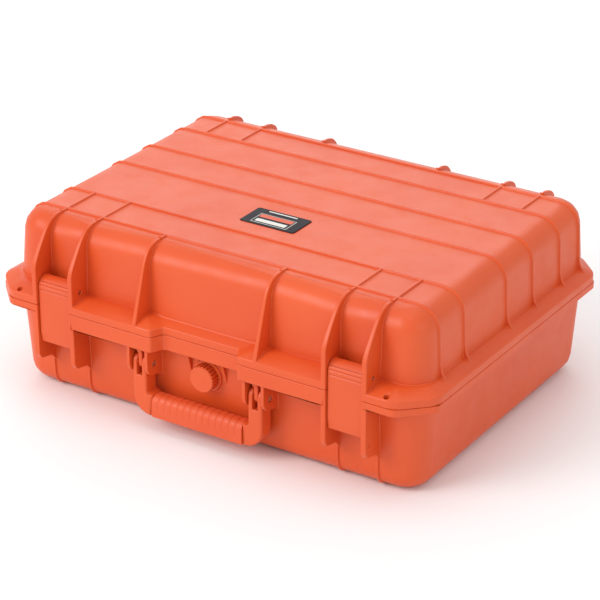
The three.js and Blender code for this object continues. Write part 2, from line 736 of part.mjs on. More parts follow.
// ---------------------------------------------------------------- latches
function latchLever(sign) {
  const centre = sign * latchX;
  const half = LATCH_WIDTH / 2;
  const front = latchPin.y - LEVER_HEAD_RADIUS;
  const cheekBack = frontPlane + LEVER_DEPTH;
  const outline = (wall) => {
    const shape = new THREE.Shape();
    const radius = LEVER_HEAD_RADIUS - wall;
    shape.absarc(latchPin.y, latchPin.z, radius, 0, Math.PI);
    shape.lineTo(front + wall, leverBottom + 12);
    shape.lineTo(front + wall + 1.5, leverBottom + wall);
    shape.lineTo(cheekBack - 2, leverBottom + wall);
    shape.lineTo(cheekBack, leverBottom + 12);
    shape.lineTo(cheekBack, latchPin.z - LEVER_HEAD_RADIUS);
    shape.closePath();
    return shape;
  };
  const body = alongX(outline(0), centre - half, centre + half, { curveSegments: 8 });
  const inside = half - LEVER_CHEEK;
  const hollow = alongX(outline(LEVER_WALL), centre - inside, centre + inside, { curveSegments: 8 });
  const opening = box(
    [centre - inside, centre + inside],
    [latchPin.y + 2.5, latchPin.y + LEVER_HEAD_RADIUS + 1],
    [leverBottom - 1, latchPin.z + LEVER_HEAD_RADIUS + 1],
  );
  const backOpening = box(
    [centre - inside, centre + inside],
    [latchPin.y - 4, latchPin.y + LEVER_HEAD_RADIUS + 1],
    [leverBottom - 1, latchPin.z - 4],
  );
  const grooves = THUMB_GROOVES_ABOVE.map((above) => {
    const z = PARTING_HEIGHT + above;
    const overPin = THREE.MathUtils.clamp(z - latchPin.z, 0, LEVER_HEAD_RADIUS);
    const y = latchPin.y - Math.sqrt(LEVER_HEAD_RADIUS ** 2 - overPin ** 2);
    return rodX(THUMB_GROOVE_RADIUS, centre - half + 1.5, centre + half - 1.5, y - 0.3, z, 8);
  });
  return cutBy(body, [
    hollow,
    opening,
    backOpening,
    ...grooves,
    rodX(LATCH_PIN_RADIUS + FIT, centre - half - 1, centre + half + 1, latchPin.y, latchPin.z),
    rodX(LINK_PIN_RADIUS + FIT, centre - half + 1, centre + half - 1, linkPin.y, linkPin.z, 12),
  ]);
}

function latchHook(sign) {
  const centre = sign * latchX;
  const half = LATCH_WIDTH / 2 - LEVER_CHEEK - SWING;
  const upperFront = latchPin.y + LATCH_PIN_RADIUS + 0.6;
  const upperBack = upperFront + HOOK_PLATE - 0.4;
  const lowerBack = frontPlane + CATCH_FRONT_BACK - 0.4;
  const lowerFront = lowerBack - HOOK_PLATE;
  const profile = shapeOf([
    [linkPin.y, linkPin.z],
    [upperFront, latchPin.z + 1.5],
    [upperFront, latchPin.z - 15],
    [lowerFront, latchPin.z - 27],
    [lowerFront, hookBottom + 3],
    [lowerFront + 1, hookBottom],
    [lowerBack, hookBottom],
    [lowerBack, latchPin.z - 29],
    [upperBack, latchPin.z - 17],
    [upperBack, latchPin.z + 1.5],
    [linkPin.y + HOOK_BOSS_RADIUS, linkPin.z],
  ]);
  const plate = alongX(profile, centre - half, centre + half);
  const boss = rodX(HOOK_BOSS_RADIUS, centre - half, centre + half, linkPin.y, linkPin.z);
  const bore = rodX(LINK_PIN_RADIUS + FIT, centre - half - 1, centre + half + 1, linkPin.y, linkPin.z, 12);
  return plate.add(boss).subtract(bore);
}

const latchPinRod = (sign) => {
  const reach = wingOffset + WING_WIDTH / 2 - 1;
  return rodX(LATCH_PIN_RADIUS, sign * latchX - reach, sign * latchX + reach, latchPin.y, latchPin.z);
};

const linkPinRod = (sign) => {
  const reach = LATCH_WIDTH / 2 - 1 - FIT;
  return rodX(LINK_PIN_RADIUS, sign * latchX - reach, sign * latchX + reach, linkPin.y, linkPin.z, 12);
};

// ---------------------------------------------------------------- handle
const gripHalf = GRIP_LENGTH / 2;
const armOuter = HANDLE_FROM_CENTRE + BRACKET_HALF - BRACKET_PLATE - SWING;
const armInner = HANDLE_FROM_CENTRE - BRACKET_HALF + BRACKET_PLATE + SWING;
const gripCentreY = handlePin.y;

function handleArm(sign) {
  const bottom = gripZ - GRIP_HEIGHT / 2;
  const top = handlePin.z + ARM_HEAD_RADIUS;
  const start = gripHalf + FIT;
  const shape = new THREE.Shape();
  shape.moveTo(armInner, top);
  shape.lineTo(armInner, gripZ + GRIP_HEIGHT / 2 + 4);
  shape.quadraticCurveTo(armInner, bottom + GRIP_HEIGHT, start, bottom + GRIP_HEIGHT);
  shape.lineTo(start, bottom);
  shape.lineTo(armOuter - HANDLE_CORNER_RADIUS, bottom);
  shape.absarc(
    armOuter - HANDLE_CORNER_RADIUS,
    bottom + HANDLE_CORNER_RADIUS,
    HANDLE_CORNER_RADIUS,
    -Math.PI / 2,
    0,
  );
  shape.lineTo(armOuter, top);
  shape.closePath();
  const bevel = 1.5;
  const half = GRIP_DEPTH / 2 - 1;
  const flat = alongY(shape, handlePin.y - half + bevel, handlePin.y + half - bevel, {
    bevelEnabled: true,
    bevelThickness: bevel,
    bevelSize: bevel,
    bevelOffset: -bevel,
    bevelSegments: 1,
    curveSegments: 4,
  });
  const head = new THREE.Shape();
  head.absarc(handlePin.y, handlePin.z, ARM_HEAD_RADIUS, 0, Math.PI);
  head.lineTo(handlePin.y - CASE_HEIGHT, handlePin.z);
  head.lineTo(handlePin.y - CASE_HEIGHT, 0);
  head.lineTo(handlePin.y + CASE_HEIGHT, 0);
  head.lineTo(handlePin.y + CASE_HEIGHT, handlePin.z);
  head.closePath();
  const headed = flat.intersect(alongX(head, 0, halfLength, { curveSegments: 6 }));
  const slot = box(
    [HANDLE_FROM_CENTRE - LUG_WIDTH / 2 - SWING, HANDLE_FROM_CENTRE + LUG_WIDTH / 2 + SWING],
    [handlePin.y - 20, handlePin.y + 20],
    [handlePin.z - BRACKET_RADIUS, handlePin.z + 20],
  );
  const arm = headed.subtract(slot);
  return sign < 0 ? arm.mirror([1, 0, 0]) : arm;
}

function handleFrame() {
  const core = box(
    [-gripHalf - 2, gripHalf + 2],
    [gripCentreY - CORE_DEPTH / 2, gripCentreY + CORE_DEPTH / 2],
    [gripZ - CORE_HEIGHT / 2, gripZ + CORE_HEIGHT / 2],
  );
  return cutBy(joined([core, handleArm(-1), handleArm(1)]), [
    handlePinHole(-1, HANDLE_PIN_RADIUS + FIT),
    handlePinHole(1, HANDLE_PIN_RADIUS + FIT),
  ]);
}

function handleGrip() {
  const pitch = GRIP_LENGTH / GRIP_RIDGES;
  const section = (depth, x0, x1) => {
    const corner = GRIP_DEPTH / 2 - 4 - depth;
    const shape = roundedRectangle(GRIP_DEPTH / 2 - depth, GRIP_HEIGHT / 2 - depth, corner);
    return alongX(shape, x0, x1, { curveSegments: 2 }).translate(0, gripCentreY, gripZ);
  };
  const sleeve = section(GROOVE_DEPTH, -gripHalf, gripHalf);
  const ridges = Array.from({ length: GRIP_RIDGES }, (_, i) => {
    const start = -gripHalf + i * pitch;
    return section(0, start + GROOVE_WIDTH / 2, start + pitch - GROOVE_WIDTH / 2);
  });
  const bore = box(
    [-gripHalf - 1, gripHalf + 1],
    [gripCentreY - CORE_DEPTH / 2 - FIT, gripCentreY + CORE_DEPTH / 2 + FIT],
    [gripZ - CORE_HEIGHT / 2 - FIT, gripZ + CORE_HEIGHT / 2 + FIT],
  );
  return joined([sleeve, ...ridges]).subtract(bore);
}

const handlePinRod = (sign) => {
  const centre = sign * HANDLE_FROM_CENTRE;
  const reach = BRACKET_HALF - 0.8;
  return rodX(HANDLE_PIN_RADIUS, centre - reach, centre + reach, handlePin.y, handlePin.z);
};

// ---------------------------------------------------------------- purge valve
const knobBack = padFace - FIT;
const knobFront = knobBack - KNOB_THICKNESS;
const stemFront = knobFront + 4;
const O_RING = { inner: 8.6, outer: 11.4, thickness: 2 };

function valveKnob() {
  const outline = new THREE.Shape();
  const step = (2 * Math.PI) / KNOB_FLUTES;
  for (let i = 0; i < KNOB_FLUTES; i++) {
    const land = KNOB_RADIUS;
    const groove = KNOB_RADIUS - 1;
    const at = (angle, radius) => [radius * Math.cos(angle), valveZ + radius * Math.sin(angle)];
    const corners = [at(i * step, land), at((i + 0.5) * step, land), at((i + 0.75) * step, groove)];
    corners.forEach(([x, z], j) => (i + j === 0 ? outline.moveTo(x, z) : outline.lineTo(x, z)));
  }
  outline.closePath();
  const fluted = alongY(outline, knobFront + 1, knobBack);
  const face = rodY(KNOB_RADIUS - KNOB_STEP, knobFront, knobFront + 2, 0, valveZ, 32);
  const groove = rodY(O_RING.outer + FIT, knobBack - O_RING.thickness - FIT, knobBack + 1, 0, valveZ)
    .subtract(rodY(O_RING.inner - FIT, frontPlane, 0, 0, valveZ));
  const socket = rodY(VALVE_STEM_RADIUS + FIT, stemFront - FIT, knobBack + 1, 0, valveZ);
  return cutBy(fluted.add(face), [groove, socket]);
}

function valveORing() {
  return rodY(O_RING.outer, knobBack - O_RING.thickness, knobBack, 0, valveZ).subtract(
    rodY(O_RING.inner, frontPlane, 0, 0, valveZ),
  );
}

const nutFront = innerPadFace + FIT;
const MEMBRANE = { radius: 4, thickness: 0.8, pocket: 2.5 };

function valveBody() {
  const stem = rodY(VALVE_STEM_RADIUS, stemFront, nutFront + NUT_THICKNESS + 2, 0, valveZ);
  return cutBy(stem, [
    rodY(VALVE_BORE_RADIUS, frontPlane, 0, 0, valveZ, 16),
    rodY(MEMBRANE.radius + FIT, stemFront - 1, stemFront + MEMBRANE.pocket, 0, valveZ),
  ]);
}

function valveMembrane() {
  const back = stemFront + MEMBRANE.pocket - FIT;
  return rodY(MEMBRANE.radius, back - MEMBRANE.thickness, back, 0, valveZ);
}

function valveNut() {
  const hexagon = rodY(NUT_ACROSS_CORNERS / 2, nutFront, nutFront + NUT_THICKNESS, 0, valveZ, 6);
  return hexagon.subtract(rodY(VALVE_STEM_RADIUS + FIT, frontPlane, 0, 0, valveZ));
}

// ---------------------------------------------------------------- seal, pins and name plate
const rimSeal = () => sealRing(SEAL_WIDTH, lidBottom, lidBottom + SEAL_HEIGHT);

const hingePinRod = (sign) => {
  const centre = sign * latchX;
  return rodX(HINGE_PIN_RADIUS, centre - HINGE_HALF_WIDTH, centre + HINGE_HALF_WIDTH, hingeY, PARTING_HEIGHT);
};

function namePlateBlock(length, depth, z0, z1) {
  const shape = roundedRectangle(length / 2, depth / 2, 3);
  return alongZ(shape, z0, z1, { curveSegments: 3 }).translate(0, plateY, 0);
}

function namePlate() {
  const seat = lidTop - PLATE_RECESS + FIT;
  return namePlateBlock(PLATE_LENGTH, PLATE_DEPTH, seat, seat + PLATE_THICKNESS);
}

// ---------------------------------------------------------------- assembly
const equipmentCase = new THREE.Group();

const SLIVER = 0.01; // edges shorter than this, left by the cuts, are closed up

function place(name, body, material) {
  const { vertProperties, triVerts } = body.asOriginal().simplify(SLIVER).getMesh();
  const geometry = new THREE.BufferGeometry();
  geometry.setAttribute("position", new THREE.BufferAttribute(vertProperties, 3));
  geometry.setIndex(new THREE.BufferAttribute(triVerts, 1));
  geometry.computeVertexNormals();
  const mesh = new THREE.Mesh(geometry, material);
  mesh.name = name;
  equipmentCase.add(mesh);
}

place("base_shell", baseShell(), orange);
place("lid_shell", lidShell(), orange);
place("rim_seal", rimSeal(), blackRubber);
place("label_plate", namePlate(), blackPlastic);
for (const { name, sign } of sides) {
  place(`hinge_pin_${name}`, hingePinRod(sign), steel);
  place(`latch_pin_${name}`, latchPinRod(sign), steel);
  place(`latch_lever_${name}`, latchLever(sign), orange);
  place(`latch_hook_${name}`, latchHook(sign), orange);
  place(`latch_link_pin_${name}`, linkPinRod(sign), steel);
  place(`handle_pin_${name}`, handlePinRod(sign), steel);
}
place("handle_frame", handleFrame(), orange);
place("handle_grip", handleGrip(), orange);
place("valve_body", valveBody(), blackPlastic);
place("valve_knob", valveKnob(), orange);
place("valve_o_ring", valveORing(), blackRubber);
place("valve_nut", valveNut(), blackPlastic);
place("valve_membrane", valveMembrane(), whiteMesh);

export default equipmentCase;
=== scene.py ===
# %% [markdown]
# # A moulded equipment case
# This lesson dresses the CAD frame of an orange equipment case: two ribbed shells on a rear hinge,
# two over-centre latches, a hanging carry handle and a purge valve. The CAD model gives every size,
# place and joint. Blender adds what the solids lack: rounded mould edges, a lobed grip, a fluted
# valve cap, surface grain, light and a camera. The frame is loaded first, and nothing in it is
# moved.

import json
import math

import bpy
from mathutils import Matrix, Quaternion, Vector

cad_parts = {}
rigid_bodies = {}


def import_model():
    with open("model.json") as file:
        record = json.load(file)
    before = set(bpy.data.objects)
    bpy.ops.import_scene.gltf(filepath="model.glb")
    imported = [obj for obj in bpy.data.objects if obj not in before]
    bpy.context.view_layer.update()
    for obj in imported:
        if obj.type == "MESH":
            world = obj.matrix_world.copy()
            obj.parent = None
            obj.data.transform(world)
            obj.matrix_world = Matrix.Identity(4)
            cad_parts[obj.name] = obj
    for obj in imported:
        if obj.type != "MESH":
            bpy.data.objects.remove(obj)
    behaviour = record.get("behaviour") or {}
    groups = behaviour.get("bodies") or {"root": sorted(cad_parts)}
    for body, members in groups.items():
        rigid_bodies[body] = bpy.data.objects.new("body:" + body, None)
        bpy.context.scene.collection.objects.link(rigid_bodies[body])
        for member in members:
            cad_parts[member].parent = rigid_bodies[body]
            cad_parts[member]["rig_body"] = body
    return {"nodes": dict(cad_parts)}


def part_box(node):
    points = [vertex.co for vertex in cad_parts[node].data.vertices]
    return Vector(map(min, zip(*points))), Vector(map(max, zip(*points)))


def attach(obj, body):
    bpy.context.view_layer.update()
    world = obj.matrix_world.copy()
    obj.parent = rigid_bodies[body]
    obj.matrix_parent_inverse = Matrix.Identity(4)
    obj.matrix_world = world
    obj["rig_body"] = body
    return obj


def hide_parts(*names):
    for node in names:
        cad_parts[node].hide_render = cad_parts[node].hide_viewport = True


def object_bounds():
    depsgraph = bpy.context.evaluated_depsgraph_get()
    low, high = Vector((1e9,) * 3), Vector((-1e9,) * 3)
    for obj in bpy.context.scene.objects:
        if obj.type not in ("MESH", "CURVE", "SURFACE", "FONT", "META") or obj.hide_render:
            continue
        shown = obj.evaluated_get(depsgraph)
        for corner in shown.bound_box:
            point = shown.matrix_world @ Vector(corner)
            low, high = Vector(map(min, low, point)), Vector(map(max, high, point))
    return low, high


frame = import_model()
cad_low, cad_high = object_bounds()
print("CAD box in metres:", [round(high - low, 4) for low, high in zip(cad_low, cad_high)])

# %% [markdown]
# ## The camera
# The case is seen from its front right corner, from above. A long lens keeps the edges nearly
# parallel, as in a catalogue view. The camera's direction is worked out from an azimuth and an
# elevation, and a quarter of a degree of roll levels the picture.

# %% Camera
CAMERA_PLACE = Vector((1.2899, -2.0439, 1.2440))
AZIMUTH, ELEVATION, ROLL = (math.radians(angle) for angle in (32.34, 25.58, 0.25))
LENS_MM, SENSOR_MM = 145.6, 36.0
CLIP_NEAR, CLIP_FAR = 0.05, 50

scene = bpy.context.scene
camera = bpy.data.objects.new("camera", bpy.data.cameras.new("camera"))
scene.collection.objects.link(camera)
back = Vector(
    (
        math.sin(AZIMUTH) * math.cos(ELEVATION),
        -math.cos(AZIMUTH) * math.cos(ELEVATION),
        math.sin(ELEVATION),
    )
)
camera.rotation_mode = "QUATERNION"
camera.location = CAMERA_PLACE
camera.rotation_quaternion = (-back).to_track_quat("-Z", "Y") @ Quaternion((0, 0, 1), ROLL)
camera.data.lens = LENS_MM
camera.data.sensor_width = SENSOR_MM
camera.data.clip_start, camera.data.clip_end = CLIP_NEAR, CLIP_FAR
scene.camera = camera
case_centre = (cad_low + cad_high) / 2
print("camera stands", round((CAMERA_PLACE - case_centre).length, 3), "m from the case's centre")

# %% [markdown]
# ## Floor and light
# The case stands on a pale floor in a white room. Four wide area lights give soft shading: a key
# from the front left, a weaker fill from the right, a broad one overhead and one behind, low enough
# to be mirrored by the lid's flat top. A wide light gives the satin plastic long soft highlights
# along its rounded edges, which a small one can't do.

# %% Lights
LIGHTS = (  # name, place and width in metres, power in watts
    ("key", (-1.3, -2.4, 1.9), 1.8, 46),
    ("fill", (2.6, -0.7, 1.2), 1.6, 6),
    ("overhead", (0.2, -0.2, 2.8), 2.4, 11),
    ("back", (-1.3, 2.1, 1.35), 2.6, 17),
)
LIT_PLACE = Vector((0, 0, 0.1))


def area_light(name, place, width, power):
    lamp = bpy.data.lights.new(name, "AREA")
    lamp.shape = "DISK"
    lamp.size = width
    lamp.energy = power
    holder = bpy.data.objects.new(name, lamp)
    holder.location = place
    holder.rotation_mode = "QUATERNION"
    holder.rotation_quaternion = (LIT_PLACE - Vector(place)).to_track_quat("-Z", "Y")
    scene.collection.objects.link(holder)


for light in LIGHTS:
    area_light(*light)

# %% Room and floor
ROOM_BRIGHTNESS, FLOOR_WIDTH = 0.75, 14

room = bpy.data.worlds.new("white_room")
scene.world = room
room.use_nodes = True
background = room.node_tree.nodes["Background"]
background.inputs["Color"].default_value = (1.0, 1.0, 1.0, 1.0)
background.inputs["Strength"].default_value = ROOM_BRIGHTNESS
scene.view_settings.view_transform = "Standard"

bpy.ops.mesh.primitive_plane_add(size=FLOOR_WIDTH, location=(0, 0, 0))
floor = bpy.context.active_object
floor.name = "floor"
print("the floor is", FLOOR_WIDTH, "m wide, in a room of brightness", ROOM_BRIGHTNESS)

# %% [markdown]
# ## Plastic that was moulded, not painted
# The shells are injection moulded in one colour. Such plastic isn't flat: the pigment flows in
# faint clouds, the steel mould leaves a fine spark-eroded grain, and broad walls sink by a few
# hundredths of a millimetre. The material mixes two near shades by a slow noise, varies its
# roughness, and bumps the surface with two noises, one at grain size and one much wider. All of it
# reads Object coordinates, in metres, so a scale of 1400 gives a grain of about 0.7 mm.


# %% Node helpers
def principled(name):
    made = bpy.data.materials.new(name)
    made.use_nodes = True
    return made, made.node_tree, made.node_tree.nodes["Principled BSDF"]


def add_node(tree, kind, **values):
    node = tree.nodes.new(kind)
    for key, value in values.items():
        if key in node.inputs:
            node.inputs[key].default_value = value
        else:
            setattr(node, key, value)
    return node


def noise(tree, coordinates, scale, detail=3.0, roughness=0.5):
    node = add_node(tree, "ShaderNodeTexNoise", Scale=scale, Detail=detail, Roughness=roughness)
    tree.links.new(coordinates, node.inputs["Vector"])
    return node.outputs["Fac"]


print("node helpers: principled, add_node, noise")


# %% Helpers that mix and bump
NOISE_LOW, NOISE_HIGH = 0.35, 0.65  # nearly all values of a noise lie between these


def ramp_between(tree, fac, low, high):
    """Spreads a noise so that it runs from low to high."""
    node = tree.nodes.new("ShaderNodeMapRange")
    limits = {"From Min": NOISE_LOW, "From Max": NOISE_HIGH, "To Min": low, "To Max": high}
    for key, value in limits.items():
        node.inputs[key].default_value = value
    tree.links.new(fac, node.inputs["Value"])
    return node.outputs["Result"]


def blend_colours(tree, fac, first, second):
    node = add_node(tree, "ShaderNodeMix", data_type="RGBA")
    for socket, value in (("A", first), ("B", second)):
        matching = [i for i in node.inputs if i.name == socket and i.type == "RGBA"][0]
        matching.default_value = value
    tree.links.new(fac, node.inputs["Factor"])
    return [o for o in node.outputs if o.type == "RGBA"][0]


def bump(tree, height, distance, strength, under=None):
    node = add_node(tree, "ShaderNodeBump", Strength=strength, Distance=distance)
    tree.links.new(height, node.inputs["Height"])
    if under is not None:
        tree.links.new(under, node.inputs["Normal"])
    return node.outputs["Normal"]


def linear(red, green, blue):
    """An sRGB colour from 0 to 255 as the linear colour that a shader takes."""
    values = [((c / 255 + 0.055) / 1.055) ** 2.4 for c in (red, green, blue)]
    return (*values, 1.0)


print("mixing helpers: ramp_between, blend_colours, bump, linear")


# %% Moulded plastic
CLOUD_SCALE, RUBBED_SCALE, WAVE_SCALE, GRAIN_SCALE = 9.0, 46.0, 14.0, 1400.0
PLASTIC_SPECULAR = 0.45


def moulded_plastic(
    name, first, second, gloss=(0.36, 0.46), grain=0.00006, grain_scale=GRAIN_SCALE, sink=0.0004
):
    """Gloss is a range of roughness. Grain and sink are the depths of the bumps, in metres."""
    made, tree, shader = principled(name)
    place = tree.nodes.new("ShaderNodeTexCoord").outputs["Object"]
    clouds = ramp_between(tree, noise(tree, place, CLOUD_SCALE, detail=4.0), 0.0, 1.0)
    tree.links.new(blend_colours(tree, clouds, first, second), shader.inputs["Base Color"])
    patches = noise(tree, place, RUBBED_SCALE, detail=5.0, roughness=0.6)
    tree.links.new(ramp_between(tree, patches, *gloss), shader.inputs["Roughness"])
    waves = bump(tree, noise(tree, place, WAVE_SCALE, detail=1.0), sink, strength=0.25)
    fine_noise = noise(tree, place, grain_scale, detail=2.0)
    fine = bump(tree, fine_noise, grain, strength=0.6, under=waves)
    tree.links.new(fine, shader.inputs["Normal"])
    shader.inputs["Specular IOR Level"].default_value = PLASTIC_SPECULAR
    return made


def dull(made, level=0.12):
    """Lowers the mirror-like part of a finish, for dark prints that stay dark under a low light."""
    made.node_tree.nodes["Principled BSDF"].inputs["Specular IOR Level"].default_value = level
    return made


print("finish helpers: moulded_plastic, dull")

# %% The plastics
ORANGE, ORANGE_DEEP = linear(221, 87, 36), linear(216, 81, 32)
shell_plastic = moulded_plastic("shell_plastic", ORANGE, ORANGE_DEEP)
edge_plastic = moulded_plastic(
    "rounded_edge_plastic", ORANGE, ORANGE_DEEP, gloss=(0.32, 0.42), grain=0.00002
)
latch_plastic = moulded_plastic(
    "latch_plastic", linear(221, 88, 38), linear(216, 82, 34), gloss=(0.34, 0.44)
)
grip_plastic = moulded_plastic(
    "grip_plastic", linear(222, 89, 46), linear(218, 84, 41), gloss=(0.42, 0.52), grain_scale=1900.0
)
label_plastic = dull(
    moulded_plastic(
        "label_plastic",
        linear(38, 35, 40),
        linear(46, 43, 48),
        gloss=(0.50, 0.60),
        grain=0.00003,
        sink=0.0001,
    )
)
black_plastic = moulded_plastic(
    "black_plastic", linear(27, 26, 29), linear(35, 34, 37), gloss=(0.42, 0.55), sink=0.0001
)
seal_rubber = moulded_plastic(
    "seal_rubber",
    linear(20, 20, 21),
    linear(30, 30, 31),
    gloss=(0.72, 0.85),
    grain=0.00012,
    grain_scale=900.0,
)
print("plastics:", [m.name for m in bpy.data.materials])

# %% [markdown]
# ## Steel, paper-white print and filter cloth
# The pins are ground steel rod, so fine rings run round them: a noise that is squeezed along X
# gives them. The filter disc in the valve is a woven cloth, made with two wave textures at right
# angles. The name plate's prints are thin moulded plastics, and the floor is matt and nearly white.


# %% Steel and cloth
RING_SQUEEZE = (6000.0, 300.0, 300.0)
THREAD_SCALE, CLOTH_ROUGHNESS = 320.0, 0.85


def ground_steel(name):
    made, tree, shader = principled(name)
    place = tree.nodes.new("ShaderNodeTexCoord").outputs["Object"]
    squeeze = add_node(tree, "ShaderNodeMapping")
    squeeze.inputs["Scale"].default_value = RING_SQUEEZE
    tree.links.new(place, squeeze.inputs["Vector"])
    rings = noise(tree, squeeze.outputs["Vector"], scale=1.0)
    greys = blend_colours(tree, rings, linear(176, 178, 182), linear(206, 208, 210))
    tree.links.new(greys, shader.inputs["Base Color"])
    tree.links.new(ramp_between(tree, rings, low=0.22, high=0.4), shader.inputs["Roughness"])
    ridges = bump(tree, rings, distance=0.00002, strength=0.4)
    tree.links.new(ridges, shader.inputs["Normal"])
    shader.inputs["Metallic"].default_value = 1.0
    return made


def filter_cloth(name):
    made, tree, shader = principled(name)
    place = tree.nodes.new("ShaderNodeTexCoord").outputs["Object"]
    weave = add_node(tree, "ShaderNodeMath", operation="MULTIPLY")
    for socket, direction in enumerate(("X", "Z")):
        wave = add_node(
            tree, "ShaderNodeTexWave", Scale=THREAD_SCALE, bands_direction=direction
        )
        tree.links.new(place, wave.inputs["Vector"])
        tree.links.new(wave.outputs["Fac"], weave.inputs[socket])
    threads = weave.outputs["Value"]
    whites = blend_colours(tree, threads, linear(205, 203, 196), linear(238, 236, 230))
    tree.links.new(whites, shader.inputs["Base Color"])
    raised = bump(tree, threads, distance=0.0001, strength=0.6)
    tree.links.new(raised, shader.inputs["Normal"])
    shader.inputs["Roughness"].default_value = CLOTH_ROUGHNESS
    return made


pin_steel = ground_steel("pin_steel")
valve_cloth = filter_cloth("valve_cloth")
print("made", pin_steel.name, "and", valve_cloth.name)

# %% Prints on the name plate
PRINT_FINISH = {"gloss": (0.45, 0.55), "grain": 0.00002, "sink": 0.0001}
label_print = moulded_plastic(
    "label_print", linear(214, 211, 205), linear(224, 221, 216), **PRINT_FINISH
)
label_band = moulded_plastic(
    "label_band", linear(222, 92, 58), linear(214, 84, 50), **PRINT_FINISH
)
print("made", label_print.name, "and", label_band.name)

# %% Floor finish
FLOOR_PALE, FLOOR_PALER = (0.93, 0.93, 0.93, 1.0), (0.95, 0.95, 0.95, 1.0)
PATCH_SCALE, FLOOR_ROUGHNESS = 3.0, 0.9

floor_finish, floor_tree, floor_shader = principled("studio_floor")
floor_place = floor_tree.nodes.new("ShaderNodeTexCoord").outputs["Object"]
floor_patches = noise(floor_tree, floor_place, PATCH_SCALE)
floor_whites = blend_colours(floor_tree, floor_patches, FLOOR_PALE, FLOOR_PALER)
floor_tree.links.new(floor_whites, floor_shader.inputs["Base Color"])
floor_shader.inputs["Roughness"].default_value = FLOOR_ROUGHNESS
floor.data.materials.append(floor_finish)
print("materials in all:", len(bpy.data.materials))

# %% [markdown]
# ## Working on one piece at a time
# An operator acts on whatever is selected, so each step first deselects everything and picks one
# piece. Inside a piece, faces and edges are picked by where they are, not by number, so the lesson
# still works when a size changes.


# %% Selecting
def alone(piece):
    if bpy.context.object is not None and bpy.context.object.mode != "OBJECT":
        bpy.ops.object.mode_set(mode="OBJECT")
    for other in list(bpy.context.selected_objects):
        other.select_set(False)
    piece.select_set(True)
    bpy.context.view_layer.objects.active = piece


def pick(piece, kind, test):
    """Opens the piece in edit mode, with only those parts picked that pass the test."""
    alone(piece)
    mesh = piece.data
    for group in (mesh.vertices, mesh.edges, mesh.polygons):
        group.foreach_set("select", [False] * len(group))
    group = {"VERT": mesh.vertices, "EDGE": mesh.edges, "FACE": mesh.polygons}[kind]
    chosen = [test(item) for item in group]
    group.foreach_set("select", chosen)
    bpy.context.tool_settings.mesh_select_mode = (kind == "VERT", kind == "EDGE", kind == "FACE")
    bpy.ops.object.mode_set(mode="EDIT")
    return sum(chosen)


def edit_all(piece):
    alone(piece)
    bpy.ops.object.mode_set(mode="EDIT")
    bpy.ops.mesh.select_all(action="SELECT")


def leave_edit():
    bpy.ops.object.mode_set(mode="OBJECT")


def triangles(piece):
    piece.data.calc_loop_triangles()
    return len(piece.data.loop_triangles)


def rise(piece, edge):
    """How far an edge climbs from one end to the other."""
    first, second = (piece.data.vertices[i].co.z for i in edge.vertices)
    return abs(first - second)


print("selecting helpers: alone, pick, edit_all, leave_edit, triangles, rise")

# %% [markdown]
# ## Rounding the moulded edges
# A mould has no sharp edge: every corner outside is rounded, and every corner inside is filled with
# a small fillet so that the plastic flows. One Bevel modifier gives both. It needs a clean mesh, so
# the copy of a CAD node is first merged, and its flat areas are dissolved to single faces, so that
# only true edges are left. A Weighted Normal modifier then keeps the flat areas flat in the light.
# The bevel writes its own faces to the second material slot, where the plastic is a little smoother,
# as edges become by handling.


# %% The rounding helpers
WELD = 0.0002
FLAT_WITHIN = 1  # degrees; faces that differ by less are dissolved into one


def round_edges(piece, radius, steps, sharper_than, material=-1, clamp=True):
    """Bevels each edge that is sharper than an angle in degrees."""
    alone(piece)
    bevel = piece.modifiers.new("mould_radius", "BEVEL")
    bevel.limit_method = "ANGLE"
    bevel.angle_limit = math.radians(sharper_than)
    bevel.width = radius
    bevel.segments = steps
    bevel.use_clamp_overlap = clamp
    bevel.material = material
    bpy.ops.object.modifier_apply(modifier=bevel.name)


def rounded_copy(node, name, radius, finish, edge_finish=None, steps=3, sharper_than=32):
    """A copy of a CAD node's mesh, cleaned, with its edges rounded."""
    source = frame["nodes"][node]
    piece = source.copy()
    piece.data = source.data.copy()
    piece.name = piece.data.name = name
    piece.parent = None
    for key in list(piece.keys()):
        del piece[key]
    scene.collection.objects.link(piece)
    piece.data.materials.clear()
    piece.data.materials.append(finish)
    piece.data.materials.append(edge_finish or finish)
    edit_all(piece)
    bpy.ops.mesh.remove_doubles(threshold=WELD)
    bpy.ops.mesh.select_all(action="SELECT")
    bpy.ops.mesh.dissolve_limited(angle_limit=math.radians(FLAT_WITHIN))
    bpy.ops.mesh.select_all(action="SELECT")
    bpy.ops.mesh.quads_convert_to_tris(quad_method="BEAUTY", ngon_method="BEAUTY")
    leave_edit()
    round_edges(piece, radius, steps, sharper_than, material=1, clamp=False)
    return piece


print("rounding helpers: round_edges, rounded_copy")


# %% Shading, and standing for a CAD node
def shade(piece, angle=40):
    """Shades smooth across every edge that turns by less than an angle in degrees."""
    alone(piece)
    bpy.ops.object.shade_smooth_by_angle(angle=math.radians(angle))
    even = piece.modifiers.new("flat_stays_flat", "WEIGHTED_NORMAL")
    even.keep_sharp = True
    bpy.ops.object.modifier_apply(modifier=even.name)


def place_piece(piece, node, body=None):
    """The piece moves with its body, and stands for a CAD node where there is one."""
    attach(piece, body or frame["nodes"][node]["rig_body"])
    if node:
        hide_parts(node)
    print(f"{piece.name}: {triangles(piece)} triangles, rides on {piece['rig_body']}")


print("finishing helpers: shade, place_piece")

# %% [markdown]
# ## The two shells
# The shells carry the look of the case: drafted walls, cross ribs over the lid, wings beside the
# latches and a rim all round. A radius of 1 mm suits 3 mm ribs, since two bevels have to fit on one.

# %% Lid and base shells
SHELL_RADIUS = 0.0010

